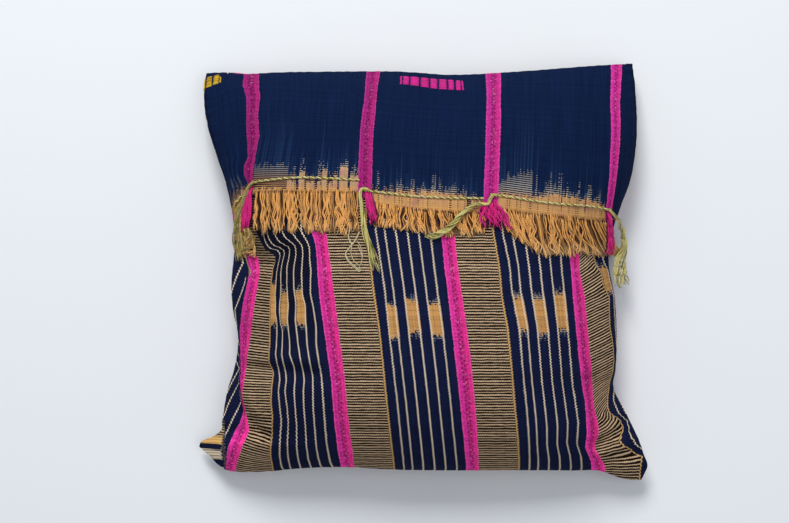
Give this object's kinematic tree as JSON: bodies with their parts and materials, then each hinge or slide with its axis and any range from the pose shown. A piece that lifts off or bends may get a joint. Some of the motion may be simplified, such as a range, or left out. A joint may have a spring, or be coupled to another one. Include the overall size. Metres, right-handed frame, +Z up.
{
  "type": "filled cushion cover",
  "caption": "Square filled cushion cover with ears and drawn-in sides, lying on its back, with a dyed flap that ends in a yarn fringe over a striped pocket.",
  "frame": {"origin": "on the floor under the middle of the part's box, with the cushion lying on its back", "axes": "+X across the face to its right, +Y towards the cushion's top edge, +Z up and out of the face"},
  "size_m": [0.4604, 0.431, 0.1241],
  "materials": {
    "striped_cloth": "handwoven cotton, navy with cream lines, ikat blocks, weft-striped bands and magenta joins",
    "dyed_cloth": "handwoven cotton dyed navy, fading in ikat teeth to peach at the fringed end, magenta joins",
    "fringe_yarn": "matte peach cotton yarn",
    "magenta_yarn": "matte magenta yarn",
    "end_cord_yarn": "matte yellow-green twined yarn"
  },
  "bodies": {
    "root": {"cushion_body": "striped_cloth", "flap": "dyed_cloth", "fringe_left_side": "fringe_yarn", "fringe_left": "fringe_yarn", "fringe_middle": "fringe_yarn", "fringe_right": "fringe_yarn", "tuft_1": "magenta_yarn", "tuft_2": "magenta_yarn", "tuft_3": "magenta_yarn", "tuft_4": "magenta_yarn", "end_cord_left_side": "end_cord_yarn", "end_cord_left": "end_cord_yarn", "end_cord_middle": "end_cord_yarn", "end_cord_right": "end_cord_yarn", "loose_end_1": "end_cord_yarn", "loose_end_2": "end_cord_yarn", "loose_end_3": "end_cord_yarn", "loose_end_4": "end_cord_yarn"}
  },
  "joints": []
}
